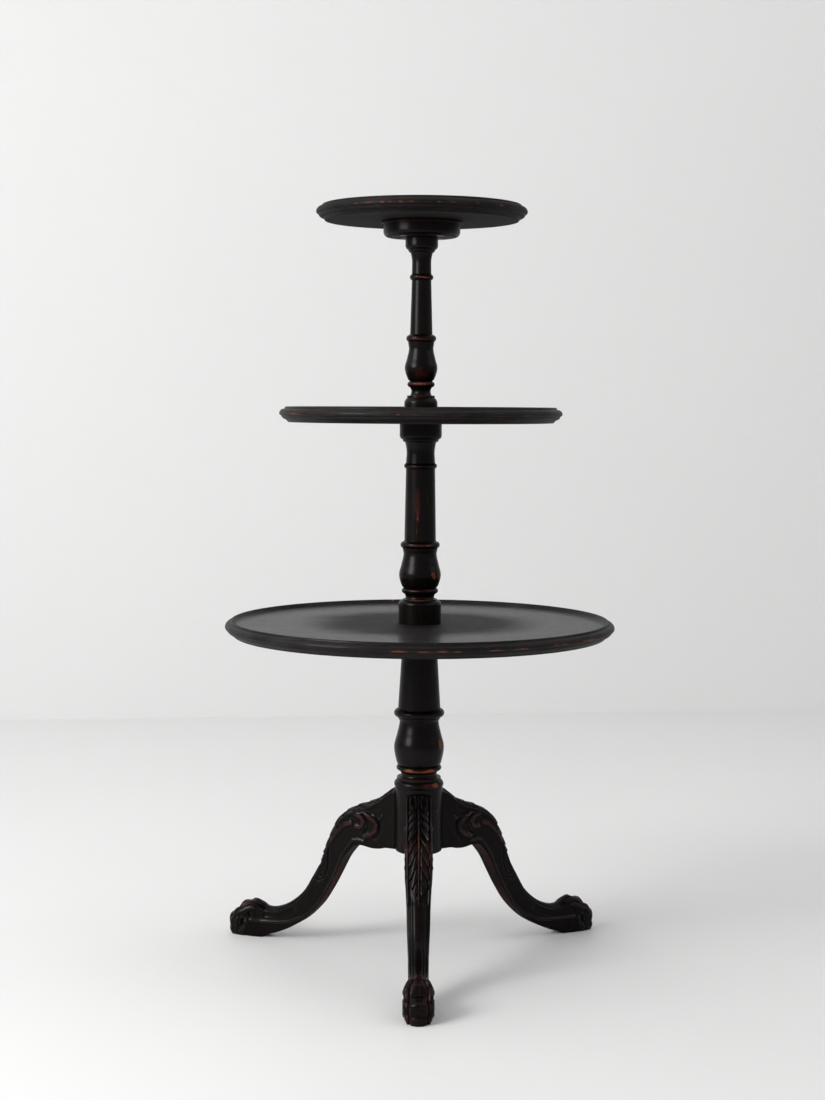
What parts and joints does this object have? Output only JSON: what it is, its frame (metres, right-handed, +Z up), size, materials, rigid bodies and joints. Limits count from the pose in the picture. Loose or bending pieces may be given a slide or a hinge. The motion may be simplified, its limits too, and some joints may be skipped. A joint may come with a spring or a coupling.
{
  "type": "tiered serving stand",
  "caption": "Floor-standing serving stand: dished round trays of falling size turn on a baluster stem with a carved cabriole base and paw feet.",
  "frame": {"origin": "the point on the floor under the stem's axis", "axes": "+Z up along the stem; the front leg points along -Y; +X is to the right as seen from the front"},
  "size_m": [0.5937, 0.622, 1.134],
  "materials": {
    "column_wood": "satin ebonised",
    "leg_wood": "satin ebonised, carved",
    "tray_wood": "satin ebonised, rubbed",
    "brace_iron": "dull",
    "screw_steel": "dull"
  },
  "bodies": {
    "stem": {"lower_column": "column_wood", "leg_front": "leg_wood", "leg_left": "leg_wood", "leg_right": "leg_wood", "brace_plate": "brace_iron", "brace_screws": "screw_steel", "middle_column": "column_wood", "upper_column": "column_wood"},
    "lower_turntable": {"lower_tray": "tray_wood"},
    "middle_turntable": {"middle_tray": "tray_wood"},
    "top_turntable": {"top_tray": "tray_wood", "top_tray_block": "column_wood", "block_screws": "screw_steel"}
  },
  "joints": [
    {"name": "lower_tray_turn", "type": "hinge", "parent": "stem", "child": "lower_turntable", "pos_m": [0, 0, 0.504], "axis": [0, 0, 1], "continuous": true},
    {"name": "middle_tray_turn", "type": "hinge", "parent": "stem", "child": "middle_turntable", "pos_m": [0, 0, 0.822], "axis": [0, 0, 1], "continuous": true},
    {"name": "top_tray_turn", "type": "hinge", "parent": "stem", "child": "top_turntable", "pos_m": [0, 0, 1.1], "axis": [0, 0, 1], "continuous": true}
  ]
}
